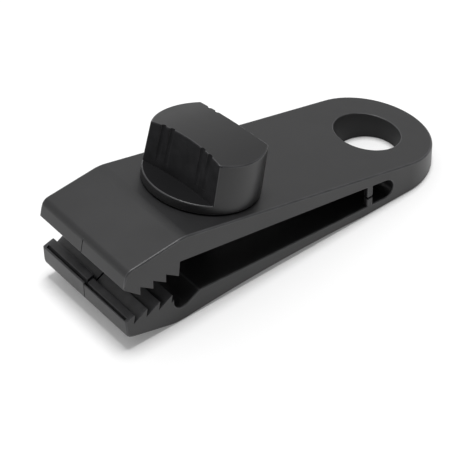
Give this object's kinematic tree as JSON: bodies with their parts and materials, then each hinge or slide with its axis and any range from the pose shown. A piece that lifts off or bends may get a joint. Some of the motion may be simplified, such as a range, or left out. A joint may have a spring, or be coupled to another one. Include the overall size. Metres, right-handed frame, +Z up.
{
  "type": "tarp clip",
  "caption": "Long V-shaped clip with toothed jaws that a thumb screw draws together to grip the edge of a sheet, and a round tail with an eyelet for a rope.",
  "frame": {"origin": "centre of the box at its base, on the ground that the lower arm and the tail lie on", "axes": "+X along the clip towards the tail with its eyelet, +Y across the arms, +Z up; the jaws face -X"},
  "size_m": [0.082, 0.026, 0.0295],
  "materials": {
    "body_nylon": "satin, moulded",
    "screw_nylon": "satin, moulded"
  },
  "bodies": {
    "lower_jaw": {"lower_jaw": "body_nylon"},
    "upper_jaw": {"upper_jaw": "body_nylon"},
    "thumb_screw": {"thumb_screw": "screw_nylon"}
  },
  "joints": [
    {"name": "jaw_close", "type": "hinge", "parent": "lower_jaw", "child": "upper_jaw", "pos_m": [0.0175, 0, 0.00109], "axis": [0, -1, 0], "range_deg": [0, 4.5]},
    {"name": "screw_turn", "type": "hinge", "parent": "upper_jaw", "child": "thumb_screw", "pos_m": [-0.01346, 0, 0.0168], "axis": [-0.23, 0, -0.9732], "range_deg": [0, 318]}
  ],
  "couplings": [
    {"joint": "jaw_close", "follows": "screw_turn", "ratio": 0.01415}
  ]
}
